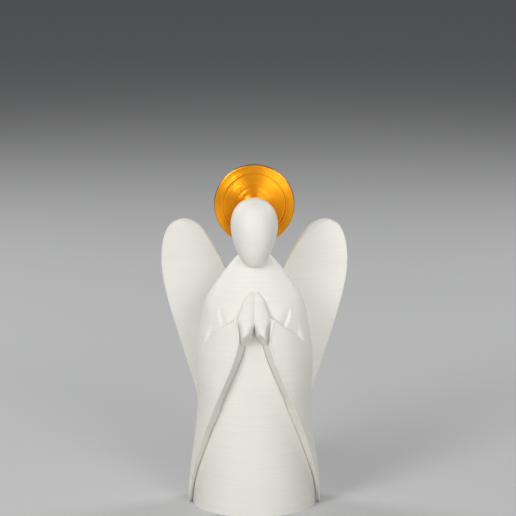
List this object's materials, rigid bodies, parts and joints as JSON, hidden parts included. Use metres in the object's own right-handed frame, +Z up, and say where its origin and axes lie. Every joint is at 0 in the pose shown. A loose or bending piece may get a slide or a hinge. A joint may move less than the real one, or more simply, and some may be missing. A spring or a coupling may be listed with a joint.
{
  "type": "praying angel figurine",
  "caption": "Small faceless praying angel with upswept petal wings, an open-fronted cloak and a round gold halo disc behind the head. Stands on its flat underside.",
  "frame": {"origin": "middle of the flat underside", "axes": "+Z up through the head, -Y the way the angel faces, +X to the right of a viewer who looks at its front"},
  "size_m": [0.1, 0.0664, 0.1799],
  "materials": {
    "off_white_filament": "matte warm off-white print with fine level layer lines",
    "gold_silk_filament": "silky gold print with concentric lines"
  },
  "bodies": {
    "root": {"angel_figure": "off_white_filament", "halo_disc": "gold_silk_filament"}
  },
  "joints": []
}
